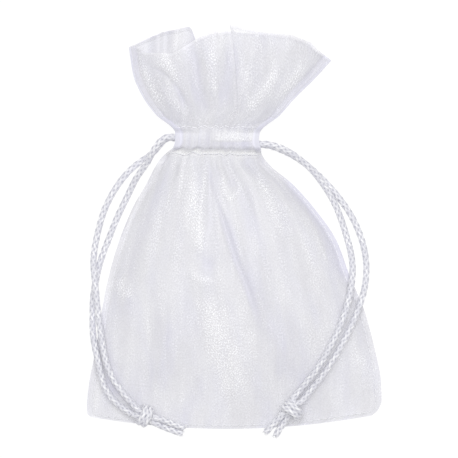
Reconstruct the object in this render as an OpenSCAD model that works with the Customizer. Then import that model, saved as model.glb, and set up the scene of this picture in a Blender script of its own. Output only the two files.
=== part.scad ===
// Drawstring gift pouch of sheer organza, lying on its back with the cords drawn.
// +X to the right of the front face, +Y from the bottom seam to the frill, +Z out of the front face.
// The origin is under the middle of the pouch, on the surface that it lies on.

/* [Pouch] */
// Width of the pouch across the bottom corners
pouch_w = 90; // [86:1:94]
// Length of the pouch from the bottom seam to the top of the frill
pouch_l = 123.6; // [118:0.2:130]
// Height of the filled-out front above the table
puff_h = 16.5; // [14.5:0.5:18]
// Thickness of the cloth wall
cloth_t = 0.5; // [0.4:0.05:0.5]
// Width of the seam where front and back lie flat on each other
seam_w = 2; // [1.5:0.5:3]

/* [Neck] */
// Height of the gathered neck between its two casings
neck_h = 11.7; // [11.7:0.1:12.5]
// Left end of the casing where the left cord comes out
neck_left = -17; // [-18:0.5:-16.5]
// Right end of the casing where the right cord comes out
neck_right = 6.8; // [6.5:0.1:8]

/* [Cords] */
// Diameter of the braided cord
cord_d = 2; // [1.6:0.1:2]
// Play between a cord and the cloth around it
cord_play = 0.2; // [0.15:0.05:0.3]
// Distance that a cord is pulled to close the neck fully
pull_travel = 3; // [2:0.5:3]
// Diameter of the sewing thread
thread_d = 0.3; // [0.2:0.05:0.4]

/* [Hidden] */
$fn = 32;

sx = pouch_w / 90;
sy = pouch_l / 123.6;
base_z = 0.4;
cord_r = cord_d / 2;
wall_play = 0.3;
back_run_z = base_z + cloth_t + wall_play + cord_r;
front_run_z = base_z + neck_h - cloth_t - wall_play - cord_r;
bight_r = (front_run_z - back_run_z) / 2;
mid_z = base_z + neck_h / 2;
facing_top = front_run_z - cord_r - cord_play;
facing_low = back_run_z + cord_r + cord_play;
panel_gap = 0.05;
waist_top = facing_top + cloth_t + panel_gap;
waist_low = facing_low - cloth_t - panel_gap;
waist_edge_drop = 1.2;
left_run_y = 27 * sy;
right_run_y = 24.9 * sy;
bend_room = 3.2;
facing_left = neck_left + pull_travel + bend_room;
facing_right = neck_right - pull_travel - bend_room;

// One row of the panels: [left x, left y, right x, right y, bow of the row along Y,
// height of the front's edge, height of the back's edge, top of the front, underside of the back]
ROWS = [
  [-43.5, -58.2, 42,   -57.6, -3.9, 0.9, 0.9, 1.4, 0.4],
  [-45,   -54.8, 45,   -53,   -4.4, 0.9, 0.9, 2.2, 0],
  [-44.4, -48.5, 44.8, -47.5, -2.5, 1,   1,   4.6, 0],
  [-42.4, -38,   42.9, -37.5, -1,   1.4, 1.4, 9.6, 0],
  [-40.4, -26,   39.8, -26,   0,    2,   2,   13.5, 0],
  [-38.2, -15,   35.2, -15,   0,    2.5, 2.5, 15.6, 0],
  [-34.9, -4,    31,   -4,    0,    3,   3,   puff_h, 0],
  [-30.8, 6,     24.4, 5.5,   0,    3.6, 3.6, puff_h, 0],
  [-26.6, 13.2,  17.4, 13.2,  0,    4.6, 4.6, 15, 0.2],
  [-23.2, 19.4,  10.8, 18.6,  0,    mid_z, mid_z, 12.6, 0.8],
  [-20.6, 22.6,  8.4,  22,    0,
    waist_top - waist_edge_drop, waist_low + waist_edge_drop, waist_top, waist_low],
  [neck_left, 23.4, neck_right, 22.8, 0,
    base_z + neck_h - cloth_t, base_z + cloth_t, base_z + neck_h, base_z],
  [neck_left, 28.8, neck_right, 28.8, 0,
    base_z + neck_h - cloth_t, base_z + cloth_t, base_z + neck_h, base_z],
  [-18.6, 29.6,  8.6,  29.6,  0,
    waist_top - waist_edge_drop, waist_low + waist_edge_drop, waist_top, waist_low],
  [-23.6, 33.8,  13.4, 33.4,  1,    mid_z, mid_z, 12.4, 1.5],
  [-27.8, 39.5,  18.6, 39.2,  3,    5.6, 5.6, 14, 0.7],
  [-30.6, 46,    24.2, 44.8,  6,    5.2, 5.2, 15, 0.3],
  [-32,   54.5,  29.5, 50.8,  9.1,  4.8, 4.8, 15.5, 0.2]
];
last_row = len(ROWS) - 1;
waist_rows = [10, 13];
columns = 14;

// Round tube swept along a list of points, closed at both ends
function unit(v) = v / norm(v);
function tangent(path, i) = unit(path[min(i + 1, len(path) - 1)] - path[max(i - 1, 0)]);
function side_of(t) = unit(cross(t, abs(t[2]) > 0.9 ? [0, 1, 0] : [0, 0, 1]));
module swept_tube(path, d, sides, round_start = false) {
  start = round_start ? [60, 30] : [];
  rings = concat(
    [for (a = start) [path[0] - d / 2 * sin(a) * tangent(path, 0), tangent(path, 0), d / 2 * cos(a)]],
    [for (i = [0 : len(path) - 1]) [path[i], tangent(path, i), d / 2]]
  );
  last = len(rings) - 1;
  points = [
    for (ring = rings) let (s = side_of(ring[1]), u = cross(s, ring[1]))
      for (k = [0 : sides - 1]) let (a = 360 * (k + 0.5) / sides)
        ring[0] + ring[2] * (cos(a) * s + sin(a) * u)
  ];
  walls = [
    for (i = [0 : last - 1]) for (k = [0 : sides - 1])
      let (n = (k + 1) % sides, a = i * sides, b = a + sides)
        each [[a + k, b + n, b + k], [a + k, a + n, b + n]]
  ];
  near_end = [for (k = [sides - 1 : -1 : 0]) k];
  far_end = [for (k = [0 : sides - 1]) last * sides + k];
  polyhedron(points, concat([near_end], walls, [far_end]));
}

// Shell between an upper and a lower grid of points with the same rows and columns
module cloth_shell(upper, lower) {
  rows = len(upper);
  cols = len(upper[0]);
  below = rows * cols;
  points = concat([for (r = upper) each r], [for (r = lower) each r]);
  down = below * [1, 1, 1];
  quads = [for (i = [0 : rows - 2]) for (j = [0 : cols - 2])
    let (a = i * cols + j) [a, a + 1, a + cols + 1, a + cols]];
  top = [for (q = quads) each [[q[0], q[2], q[1]], [q[0], q[3], q[2]]]];
  bottom = [for (q = quads) each [[q[0], q[1], q[2]] + down, [q[0], q[2], q[3]] + down]];
  rim = concat(
    [for (j = [0 : cols - 1]) j],
    [for (i = [1 : rows - 1]) i * cols + cols - 1],
    [for (j = [cols - 2 : -1 : 0]) (rows - 1) * cols + j],
    [for (i = [rows - 2 : -1 : 1]) i * cols]
  );
  edge = [for (k = [0 : len(rim) - 1]) let (a = rim[k], b = rim[(k + 1) % len(rim)])
    each [[a, b, b + below], [a, b + below, a + below]]];
  polyhedron(points, concat(top, bottom, edge));
}

// Place on a row, where u runs from -1 at its left end to 1 at its right end
function row_x(r, u) = sx * (r[0] + (r[2] - r[0]) * (u + 1) / 2);
function row_y(r, u) = sy * (r[1] + (r[3] - r[1]) * (u + 1) / 2 + r[4] * (1 - u * u));
function row_u(r, x) = 2 * (x - r[0]) / (r[2] - r[0]) - 1;
function seam_u(r) = 1 - seam_w / ((r[2] - r[0]) / 2);
crown_power = 2.6;
function crown(r, u) = let (v = min(abs(u) / seam_u(r), 1)) 1 - pow(v, crown_power);
function front_z(r, u) = let (rise = r[7] - cloth_t - r[5]) r[5] + max(rise, 0) * crown(r, u);
function back_z(r, u) = let (drop = r[6] - cloth_t - r[8]) r[6] - max(drop, 0) * crown(r, u);
function row_us(r) =
  let (s = seam_u(r)) concat([-1], [for (j = [0 : columns]) s * (2 * j / columns - 1)], [1]);

// The two big panels. The front's lower face and the back's upper face meet at the seams
module front_panel() {
  lower = [for (r = ROWS) [for (u = row_us(r)) [row_x(r, u), row_y(r, u), front_z(r, u)]]];
  color([0.91, 0.91, 0.95, 0.55])
    cloth_shell([for (r = lower) [for (p = r) p + [0, 0, cloth_t]]], lower);
}

module back_panel() {
  upper = [for (r = ROWS) [for (u = row_us(r)) [row_x(r, u), row_y(r, u), back_z(r, u)]]];
  color([0.88, 0.88, 0.93, 0.55])
    cloth_shell(upper, [for (r = upper) [for (p = r) p - [0, 0, cloth_t]]]);
}

// The turned-in cloth that closes each casing on the inside and lines the frill
facing_gap = 0.12;
facing_inset = seam_w + 2.5;
facing_steps = 10;
function facing_ends(i) =
  i <= waist_rows[1] ? [facing_left, facing_right]
  : [ROWS[i][0] + facing_inset, ROWS[i][2] - facing_inset];
facing_rows = [for (i = [waist_rows[0] : last_row]) i];
function facing_u(i, j) =
  let (e = facing_ends(i)) row_u(ROWS[i], e[0] + (e[1] - e[0]) * j / facing_steps);
function in_casing(i) = i >= waist_rows[0] && i <= waist_rows[1];

module front_casing_facing() {
  upper = [for (i = facing_rows) let (r = ROWS[i]) [for (j = [0 : facing_steps]) let (u = facing_u(i, j))
    [row_x(r, u), row_y(r, u), in_casing(i) ? facing_top : front_z(r, u) - facing_gap]]];
  color([0.93, 0.93, 0.97, 0.55])
    cloth_shell(upper, [for (r = upper) [for (p = r) p - [0, 0, cloth_t]]]);
}

module back_casing_facing() {
  lower = [for (i = facing_rows) let (r = ROWS[i]) [for (j = [0 : facing_steps]) let (u = facing_u(i, j))
    [row_x(r, u), row_y(r, u), in_casing(i) ? facing_low : back_z(r, u) + facing_gap]]];
  color([0.9, 0.9, 0.95, 0.55])
    cloth_shell([for (r = lower) [for (p = r) p + [0, 0, cloth_t]]], lower);
}

// Sewing threads: a needle thread above and a bobbin thread below the two layers
thread_lift = thread_d / 2 + 0.02;
thread_sides = 6;
function seam_point(r, u, lift) = [row_x(r, u), row_y(r, u), r[5] + lift];
module side_thread(side) {
  rows = [for (i = [1 : 9]) ROWS[i]];
  for (lift = [cloth_t + thread_lift, -cloth_t - thread_lift])
    swept_tube([for (r = rows) seam_point(r, side * (1 + seam_u(r)) / 2, lift)], thread_d, thread_sides);
}
module left_side_seam() { color([0.97, 0.97, 1]) side_thread(-1); }
module right_side_seam() { color([0.97, 0.97, 1]) side_thread(1); }

bottom_rise = 0.35;
bottom_span = 0.94;
bottom_steps = 18;
module bottom_seam() {
  lift = cloth_t + thread_lift + bottom_rise;
  inset = [0, seam_w / 2, 0];
  color([0.97, 0.97, 1])
    swept_tube([for (k = [0 : bottom_steps])
      seam_point(ROWS[0], bottom_span * (2 * k / bottom_steps - 1), lift) + inset], thread_d, thread_sides);
}

casing_thread_steps = 10;
casing_thread_lift = 0.45;
casing_thread_aside = 0.25;
casing_thread_inset = 2.5;
module casing_thread(i, z) {
  r = ROWS[i];
  span = 1 - 2 * casing_thread_inset / (r[2] - r[0]);
  aside = i == waist_rows[1] ? casing_thread_aside : -casing_thread_aside;
  swept_tube([for (k = [0 : casing_thread_steps]) let (u = span * (2 * k / casing_thread_steps - 1))
    [row_x(r, u), row_y(r, u) + aside, z]], thread_d, thread_sides);
}
front_thread_z = waist_top + casing_thread_lift;
back_thread_z = waist_low - casing_thread_lift;
module front_upper_casing_stitch() { color([0.97, 0.97, 1]) casing_thread(waist_rows[1], front_thread_z); }
module front_lower_casing_stitch() { color([0.97, 0.97, 1]) casing_thread(waist_rows[0], front_thread_z); }
module back_upper_casing_stitch() { color([0.97, 0.97, 1]) casing_thread(waist_rows[1], back_thread_z); }
module back_lower_casing_stitch() { color([0.97, 0.97, 1]) casing_thread(waist_rows[0], back_thread_z); }

// The stretch of a cord inside the casings: out through the front, round the far side, back behind
exit_gap = 1.3;
left_exit_x = neck_left - 3;
right_exit_x = neck_right + 2.2;
bight_bulge = 0.8;
bight_inset = cord_r + bight_r - bight_bulge;
module casing_run(exit_x, bight_x) {
  run = abs(bight_x - exit_x) - exit_gap;
  toward = bight_x > exit_x ? 1 : -1;
  for (z = [front_run_z, back_run_z])
    translate([bight_x, 0, z]) rotate([0, -90 * toward, 0]) cylinder(d = cord_d, h = run);
  translate([bight_x, 0, mid_z]) rotate([90, toward > 0 ? 90 : -90, 0])
    rotate_extrude(angle = 180) translate([bight_r, 0]) circle(d = cord_d);
}
module left_cord_in_casing() {
  color("white") translate([0, left_run_y, 0]) casing_run(left_exit_x, neck_right - bight_inset);
}
module right_cord_in_casing() {
  color("white") translate([0, right_run_y, 0]) casing_run(right_exit_x, neck_left + bight_inset);
}

// Free strands, from the exit to the knot. Each starts in a round end on its swing axis
LEFT_OUTER = [
  [-20, 27, 2.2], [-24, 23.4, 1.2], [-29.5, 19.2, 1.05], [-33.5, 15.4, 1.05], [-37, 10.4, 1.05],
  [-39.5, 5.4, 1.05], [-41.2, 0, 1.05], [-42.4, -5.5, 1.2], [-42.9, -11, 2.2], [-42.4, -16.5, 3.3],
  [-41.9, -21.5, 3.5], [-41.3, -27, 3.5], [-40.5, -33, 3.9], [-39.6, -38.5, 4.1], [-38, -43.8, 4.5],
  [-35, -49, 4.4], [-31.4, -53.2, 4.3], [-29.2, -55.6, 4.5]
];
LEFT_INNER = [
  [-20, 27, 10.3], [-23.8, 23.8, 9.5], [-26.4, 19.4, 6.8], [-29.6, 15, 4.2], [-32, 10.4, 2.2],
  [-34.4, 5.6, 1.3], [-36.8, 0.2, 1.05], [-38.8, -5, 1.05], [-40.7, -10.2, 1.05], [-42, -15.5, 1.05],
  [-43, -21, 1.05], [-43.2, -27, 1.2], [-43.1, -32, 2.1], [-42.2, -37.5, 3.4], [-40.8, -43.5, 3.8],
  [-39, -49.5, 3.7], [-35, -54.2, 3.8], [-31.2, -56.8, 4.1]
];
RIGHT_OUTER = [
  [9, 24.9, 2.2], [14, 23.6, 1.2], [19.4, 20.8, 1.05], [24.3, 17, 1.05], [28.4, 13, 1.05],
  [32, 8.8, 1.05], [35.4, 3.9, 1.05], [37.9, -1.2, 1.05], [39.6, -6.6, 1.05], [40.3, -12, 1.2],
  [39.9, -17.5, 2.4], [38.4, -23, 4.3], [36, -28.8, 5.4], [33.1, -34.6, 6.9], [30, -40, 7.3],
  [26.7, -45.2, 6.4], [23, -49.8, 5.6], [20.5, -52.9, 5.4]
];
RIGHT_INNER = [
  [9, 24.9, 10.3], [14, 23.8, 9.2], [19, 21, 7], [23.4, 17.4, 4.8], [27, 13, 3.2],
  [29.8, 8.6, 2.2], [32.2, 3.4, 1.3], [33.8, -1.4, 1.05], [35.3, -6.8, 1.4], [36, -12.4, 3.1],
  [35.5, -18, 4.8], [34.3, -23.6, 6], [32.2, -29.4, 7.5], [29.6, -35, 8.1], [26.8, -40.2, 7.9],
  [23.5, -45.1, 6.9], [20.2, -49.3, 5.8], [17.8, -52.2, 5.6]
];
cord_sides = 8;
module strand(path) { color("white") swept_tube(path, cord_d, cord_sides, true); }
module left_cord_outer_strand() { strand(LEFT_OUTER); }
module left_cord_inner_strand() { strand(LEFT_INNER); }
module right_cord_outer_strand() { strand(RIGHT_OUTER); }
module right_cord_inner_strand() { strand(RIGHT_INNER); }

// Overhand knots in the doubled cord, and the cut tails beyond them
knot_l = 6;
knot_h = 4.6;
wrap_tilt = 78;
wrap_d = cord_d * 0.9;
module knot(place, heading) {
  color("white") translate(place) rotate([0, 0, heading]) {
    hull() for (x = [-1, 1]) translate([x * (knot_l - knot_h) / 2, 0, 0]) sphere(d = knot_h, $fn = 24);
    rotate([0, wrap_tilt, 0]) rotate_extrude() translate([knot_h / 2, 0]) circle(d = wrap_d);
  }
}
LEFT_KNOT = [-27, -57.4, 5.4];
RIGHT_KNOT = [17.6, -55.4, 6.2];
module left_knot() { knot(LEFT_KNOT, -22); }
module right_knot() { knot(RIGHT_KNOT, 58); }

LEFT_TAILS = [
  [[-25, -57.6, 5.2], [-21.5, -58.8, 4.2], [-18, -60.2, 3.4], [-15.2, -61.2, 3.2]],
  [[-25.4, -59, 4.4], [-22.2, -60.6, 3.4], [-19, -61.9, 2.9], [-16, -63, 2.5]]
];
RIGHT_TAILS = [
  [[16.8, -56.6, 5], [15.4, -59, 3.8], [13.9, -61.4, 3.3], [12.6, -63.6, 3]],
  [[15.8, -56, 5.2], [13.6, -58.3, 4.4], [11.4, -60.6, 3.8], [9.5, -62.6, 3.4]]
];
module left_tails() { color("white") for (path = LEFT_TAILS) swept_tube(path, cord_d, cord_sides); }
module right_tails() { color("white") for (path = RIGHT_TAILS) swept_tube(path, cord_d, cord_sides); }

front_panel();
back_panel();
front_casing_facing();
back_casing_facing();
left_side_seam();
right_side_seam();
bottom_seam();
front_upper_casing_stitch();
front_lower_casing_stitch();
back_upper_casing_stitch();
back_lower_casing_stitch();
left_cord_in_casing();
right_cord_in_casing();
left_cord_outer_strand();
left_cord_inner_strand();
right_cord_outer_strand();
right_cord_inner_strand();
left_knot();
right_knot();
left_tails();
right_tails();
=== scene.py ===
"""Looks of the organza drawstring pouch: braided cords, sheer cloth, stitching, floor, light and camera.

Every length below is in millimetres, as in part.scad, unless a comment says otherwise. mesh_object()
turns it into metres.
"""

import math

import bpy
import numpy as np
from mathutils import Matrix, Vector


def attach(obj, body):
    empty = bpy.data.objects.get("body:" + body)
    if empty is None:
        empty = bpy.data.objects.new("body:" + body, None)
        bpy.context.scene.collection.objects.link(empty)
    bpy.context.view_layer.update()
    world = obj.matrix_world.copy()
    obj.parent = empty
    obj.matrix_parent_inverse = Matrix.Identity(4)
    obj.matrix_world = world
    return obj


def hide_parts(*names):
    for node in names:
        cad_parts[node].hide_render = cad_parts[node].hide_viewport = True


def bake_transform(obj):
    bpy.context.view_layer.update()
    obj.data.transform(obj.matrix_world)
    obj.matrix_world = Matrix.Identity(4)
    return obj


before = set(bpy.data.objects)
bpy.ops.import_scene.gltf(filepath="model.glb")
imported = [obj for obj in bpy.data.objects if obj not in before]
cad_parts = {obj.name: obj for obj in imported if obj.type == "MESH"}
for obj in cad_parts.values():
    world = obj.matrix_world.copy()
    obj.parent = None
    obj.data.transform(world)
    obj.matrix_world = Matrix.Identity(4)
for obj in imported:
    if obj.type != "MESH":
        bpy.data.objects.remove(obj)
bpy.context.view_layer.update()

MM = 0.001

# ---------------------------------------------------------------- camera

CAMERA_CENTRE = (-1.6, -0.7)
CAMERA_HEIGHT = 700.0
LENS, SENSOR = 180, 36


def make_camera():
    data = bpy.data.cameras.new("camera")
    data.lens = LENS
    data.sensor_width = SENSOR
    camera = bpy.data.objects.new("camera", data)
    camera.location = (CAMERA_CENTRE[0] * MM, CAMERA_CENTRE[1] * MM, CAMERA_HEIGHT * MM)
    bpy.context.scene.collection.objects.link(camera)
    bpy.context.scene.camera = camera


make_camera()

# ---------------------------------------------------------------- mesh helpers


def mesh_object(name, points, faces, material, attributes=None):
    """A mesh object from points in millimetres. Attributes are arrays with one row per point."""
    mesh = bpy.data.meshes.new(name)
    mesh.from_pydata([tuple(p) for p in np.asarray(points) * MM], [], [tuple(map(int, f)) for f in faces])
    for key, values in (attributes or {}).items():
        values = np.asarray(values, dtype=float)
        if values.ndim == 1:
            layer = mesh.attributes.new(key, "FLOAT", "POINT")
            layer.data.foreach_set("value", values)
        else:
            layer = mesh.attributes.new(key, "FLOAT_VECTOR", "POINT")
            layer.data.foreach_set("vector", values.ravel())
    mesh.polygons.foreach_set("use_smooth", [True] * len(mesh.polygons))
    mesh.update()
    mesh.materials.append(material)
    obj = bpy.data.objects.new(name, mesh)
    bpy.context.scene.collection.objects.link(obj)
    return obj


def grid_faces(rows, columns, closed=False):
    """Quads of a grid of rows x columns points, with the last column joined to the first when closed."""
    faces = []
    for i in range(rows - 1):
        for j in range(columns if closed else columns - 1):
            k = (j + 1) % columns
            faces.append((i * columns + j, i * columns + k, (i + 1) * columns + k, (i + 1) * columns + j))
    return faces


def end_caps(rows, sides):
    """Triangles that close a tube of rows x sides points, whose two tips are the points after them."""
    faces = []
    for j in range(sides):
        k = (j + 1) % sides
        faces.append((rows * sides, k, j))
        faces.append((rows * sides + 1, (rows - 1) * sides + j, (rows - 1) * sides + k))
    return faces


def spline(points, step):
    """A natural cubic spline through the points, resampled about every step."""
    p = np.asarray(points, dtype=float)
    t = np.concatenate([[0], np.cumsum(np.linalg.norm(np.diff(p, axis=0), axis=1))])
    n = len(p)
    h = np.diff(t)
    a = np.eye(n)
    b = np.zeros((n, p.shape[1]))
    for i in range(1, n - 1):
        a[i, i - 1 : i + 2] = h[i - 1], 2 * (h[i - 1] + h[i]), h[i]
        b[i] = 6 * ((p[i + 1] - p[i]) / h[i] - (p[i] - p[i - 1]) / h[i - 1])
    m = np.linalg.solve(a, b)
    s = np.linspace(0, t[-1], max(2, int(round(t[-1] / step)) + 1))
    k = np.clip(np.searchsorted(t, s, side="right") - 1, 0, n - 2)
    d0, d1, w = (s - t[k])[:, None], (t[k + 1] - s)[:, None], h[k][:, None]
    return (
        m[k] * d1**3 / (6 * w)
        + m[k + 1] * d0**3 / (6 * w)
        + (p[k] / w - m[k] * w / 6) * d1
        + (p[k + 1] / w - m[k + 1] * w / 6) * d0
    )


def frames_along(path):
    """Tangent, normal and binormal at each point, carried along the path without twist."""
    tangents = np.gradient(path, axis=0)
    tangents /= np.linalg.norm(tangents, axis=1)[:, None]
    helper = np.array([0.0, 0.0, 1.0]) if abs(tangents[0][2]) < 0.9 else np.array([0.0, 1.0, 0.0])
    normal = np.cross(tangents[0], helper)
    normals = []
    for t in tangents:
        normal = normal - np.dot(normal, t) * t
        normal = normal / np.linalg.norm(normal)
        normals.append(normal)
    normals = np.array(normals)
    return tangents, normals, np.cross(tangents, normals)


# ---------------------------------------------------------------- material helpers


class Nodes:
    """Short calls for building a node tree."""

    def __init__(self, name):
        self.material = bpy.data.materials.new(name)
        self.material.use_nodes = True
        self.tree = self.material.node_tree
        self.tree.nodes.clear()
        self.out = self.tree.nodes.new("ShaderNodeOutputMaterial")
        self.bsdf = self.tree.nodes.new("ShaderNodeBsdfPrincipled")
        self.tree.links.new(self.bsdf.outputs[0], self.out.inputs[0])

    def put(self, socket, value):
        if isinstance(value, bpy.types.NodeSocket):
            self.tree.links.new(value, socket)
        elif value is not None:
            socket.default_value = value

    def new(self, kind, **settings):
        node = self.tree.nodes.new(kind)
        for key, value in settings.items():
            setattr(node, key, value)
        return node

    def attribute(self, name, output="Vector"):
        return self.new("ShaderNodeAttribute", attribute_name=name).outputs[output]

    def math(self, operation, a, b, clamp=False):
        node = self.new("ShaderNodeMath", operation=operation, use_clamp=clamp)
        for socket, value in zip(node.inputs, (a, b)):
            self.put(socket, value)
        return node.outputs[0]

    def scaled(self, vector, scale):
        node = self.new("ShaderNodeVectorMath", operation="MULTIPLY")
        self.put(node.inputs[0], vector)
        node.inputs[1].default_value = scale
        return node.outputs[0]

    def noise(self, vector, scale, detail=2.0, roughness=0.5):
        node = self.new("ShaderNodeTexNoise")
        self.put(node.inputs["Vector"], vector)
        node.inputs["Scale"].default_value = scale
        node.inputs["Detail"].default_value = detail
        node.inputs["Roughness"].default_value = roughness
        return node.outputs[0]

    def bands(self, vector, direction, period):
        """Sine bands across one axis of the vector, period in the vector's own unit."""
        node = self.new("ShaderNodeTexWave", wave_type="BANDS", bands_direction=direction,
                        wave_profile="SIN")
        self.put(node.inputs["Vector"], vector)
        node.inputs["Scale"].default_value = math.pi / (10 * period)
        node.inputs["Distortion"].default_value = 0
        return node.outputs[1]

    def span(self, value, low, high, to_low=0.0, to_high=1.0):
        node = self.new("ShaderNodeMapRange", clamp=True)
        for socket, v in zip(node.inputs, (value, low, high, to_low, to_high)):
            self.put(socket, v)
        return node.outputs[0]

    def mix(self, factor, a, b):
        node = self.new("ShaderNodeMix", data_type="RGBA")
        self.put(node.inputs[0], factor)
        self.put(node.inputs[6], a)
        self.put(node.inputs[7], b)
        return node.outputs[2]

    def bump(self, height, strength, distance):
        node = self.new("ShaderNodeBump")
        node.inputs["Strength"].default_value = strength
        node.inputs["Distance"].default_value = distance
        self.put(node.inputs["Height"], height)
        return node.outputs[0]

    def shader(self, **values):
        for key, value in values.items():
            self.put(self.bsdf.inputs[key.replace("_", " ")], value)


def organza(name, pale, deep, violet, density, shine_gain):
    """Sheer woven cloth, made of three colours: pale is the cloth's own colour, and deep and violet are
    partly random tone and partly the colours of painted shade. 'weave' is the place on the flat cloth in
    millimetres, the signed attribute is painted light, a painted highlight above 0 and painted shade,
    darker and more violet, below it, and 'dense' adds to the density."""
    n = Nodes(name)
    weave = n.attribute("weave")
    signed = n.attribute("shimmer", "Fac")
    dense = n.attribute("dense", "Fac")
    # The painted highlight part of the signed attribute, then its painted shade part.
    shimmer = n.span(signed, 0.0, 1.0)
    shade = n.span(signed, 0.0, -1.0)
    warp = n.bands(weave, "X", 0.42)
    weft = n.bands(weave, "Y", 0.38)
    threads = n.math("MAXIMUM", warp, weft)
    grain = n.noise(n.scaled(weave, (1.0, 0.8, 1.0)), 2.1, 2.0, 0.7)
    cloud = n.noise(n.scaled(weave, (1.0, 0.35, 1.0)), 0.11, 4.0, 0.6)
    streak = n.noise(n.scaled(weave, (1.0, 0.14, 1.0)), 0.38, 2.0, 0.55)
    patch = n.noise(n.scaled(weave, (1.0, 0.6, 1.0)), 0.3, 3.0, 0.65)
    hue = n.noise(n.scaled(weave, (1.0, 0.3, 1.0)), 0.16, 2.0, 0.5)
    # Painted sheen: noise streaks plus the painted highlight, in patches.
    lustre = n.math("ADD", n.math("MULTIPLY", n.span(streak, 0.42, 0.7), 0.4), shimmer)
    lustre = n.math("MULTIPLY", lustre, n.span(patch, 0.3, 0.62, 0.35, 1.15))
    # Painted glints: fine grain where the painted sheen is strong; below they are mixed towards white and
    # make the cloth denser.
    spark = n.math("MULTIPLY", n.span(grain, 0.49, 0.68), n.span(lustre, 0.05, 0.9))
    # Tone: random clouds, lighter by painted highlight, darker by painted shade; painted shade also turns
    # the cloth violet over the random hue.
    tone = n.math("ADD", n.span(cloud, 0.32, 0.68, 0.0, 0.6), n.math("MULTIPLY", lustre, 0.6))
    tone = n.math("SUBTRACT", tone, n.math("MULTIPLY", shade, 0.6), clamp=True)
    blue = n.math("ADD", n.span(hue, 0.45, 0.65, 0.0, 0.7), n.math("MULTIPLY", shade, 0.9), clamp=True)
    colour = n.mix(tone, n.mix(blue, deep, violet), pale)
    # Painted shade: the darkest parts of the signed attribute turn grey.
    colour = n.mix(n.span(signed, -0.9, -1.4), colour, (0.6, 0.6, 0.66, 1.0))
    # Painted glints mixed towards white, scaled by shine_gain.
    colour = n.mix(n.math("MULTIPLY", spark, shine_gain, clamp=True), colour, (0.99, 0.99, 1.0, 1.0))
    cover = n.math("ADD", n.span(threads, 0.2, 0.9, -0.06, 0.06), n.math("ADD", dense, density))
    cover = n.math("ADD", cover, n.span(grain, 0.35, 0.65, -0.05, 0.05))
    # Painted shade also makes the cloth denser.
    cover = n.math("ADD", cover, n.math("MULTIPLY", shade, 0.12))
    cover = n.math("ADD", cover, n.math("MULTIPLY", spark, 0.5), clamp=True)
    height = n.math("ADD", n.math("MULTIPLY", threads, 0.5), grain)
    n.shader(
        Base_Color=colour,
        Alpha=cover,
        Roughness=n.span(grain, 0.3, 0.7, 0.3, 0.52),
        Normal=n.bump(height, 0.35, 0.00006),
        IOR=1.5,
    )
    n.bsdf.inputs["Specular IOR Level"].default_value = 0.5
    n.bsdf.inputs["Sheen Weight"].default_value = 0.25
    n.bsdf.inputs["Sheen Roughness"].default_value = 0.4
    n.bsdf.inputs["Sheen Tint"].default_value = (0.93, 0.93, 1.0, 1.0)
    return n.material


def satin(name):
    """Braided satin cord. 'lay' is (across a yarn, along the cord, which yarn), and 'relief' is the height
    of the braid. Low relief is painted darker, as painted shade in the braid's hollows; some yarns are
    darker at random, as painted patchy shade; and the fibre pattern is mixed towards white, as painted
    highlight."""
    n = Nodes(name)
    lay = n.attribute("lay")
    relief = n.attribute("relief", "Fac")
    fibre = n.noise(n.scaled(lay, (5.0, 0.6, 0.01)), 1.6, 3.0, 0.6)
    patch = n.noise(n.scaled(lay, (0.05, 0.05, 0.37)), 1.0, 1.0, 0.5)
    groove = n.span(relief, 0.25, 0.85)
    # Painted shade in the braid's hollows, painted patchy shade on some yarns, then painted highlight along
    # the fibres.
    colour = n.mix(groove, (0.36, 0.36, 0.43, 1.0), (0.93, 0.93, 0.95, 1.0))
    colour = n.mix(n.span(patch, 0.4, 0.6, 0.0, 0.8), colour, (0.58, 0.58, 0.66, 1.0))
    colour = n.mix(n.span(fibre, 0.45, 0.75, 0.0, 0.75), colour, (0.97, 0.97, 1.0, 1.0))
    n.shader(
        Base_Color=colour,
        Roughness=n.span(fibre, 0.3, 0.7, 0.26, 0.45),
        Normal=n.bump(fibre, 0.5, 0.00008),
        IOR=1.5,
    )
    n.bsdf.inputs["Sheen Weight"].default_value = 0.2
    n.bsdf.inputs["Sheen Roughness"].default_value = 0.35
    return n.material


def thread(name):
    n = Nodes(name)
    lay = n.attribute("lay")
    twist = n.bands(lay, "X", 0.35)
    fuzz = n.noise(n.scaled(lay, (1.0, 1.0, 1.0)), 4.0, 2.0, 0.6)
    # Painted shade in the grooves of the twist, whose bands also make the bump.
    colour = n.mix(twist, (0.84, 0.84, 0.88, 1.0), (0.97, 0.97, 1.0, 1.0))
    colour = n.mix(n.span(fuzz, 0.4, 0.7, 0.0, 0.3), colour, (0.98, 0.98, 1.0, 1.0))
    n.shader(Base_Color=colour, Roughness=0.5, Normal=n.bump(twist, 0.5, 0.00004))
    n.bsdf.inputs["Sheen Weight"].default_value = 0.2
    return n.material


SATIN = satin("satin_cord_white")
THREAD = thread("sewing_thread_white")
FRONT = organza("organza_front_white", pale=(0.96, 0.96, 0.985, 1), deep=(0.775, 0.77, 0.81, 1),
                violet=(0.75, 0.745, 0.85, 1), density=0.46, shine_gain=1.0)
# The back is the same organza as the front in darker colours, which is painted shade, and it has weaker
# painted glints.
BACK = organza("organza_back_white", pale=(0.79, 0.79, 0.815, 1), deep=(0.69, 0.685, 0.72, 1),
               violet=(0.67, 0.67, 0.76, 1), density=0.7, shine_gain=0.6)
FACING = organza("organza_facing_white", pale=(0.92, 0.92, 0.95, 1), deep=(0.79, 0.785, 0.82, 1),
                 violet=(0.77, 0.77, 0.85, 1), density=0.12, shine_gain=0.5)

# ---------------------------------------------------------------- cords

CORD_R = 1.0
YARNS = 4
BRAID_PITCH = 2.4


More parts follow.
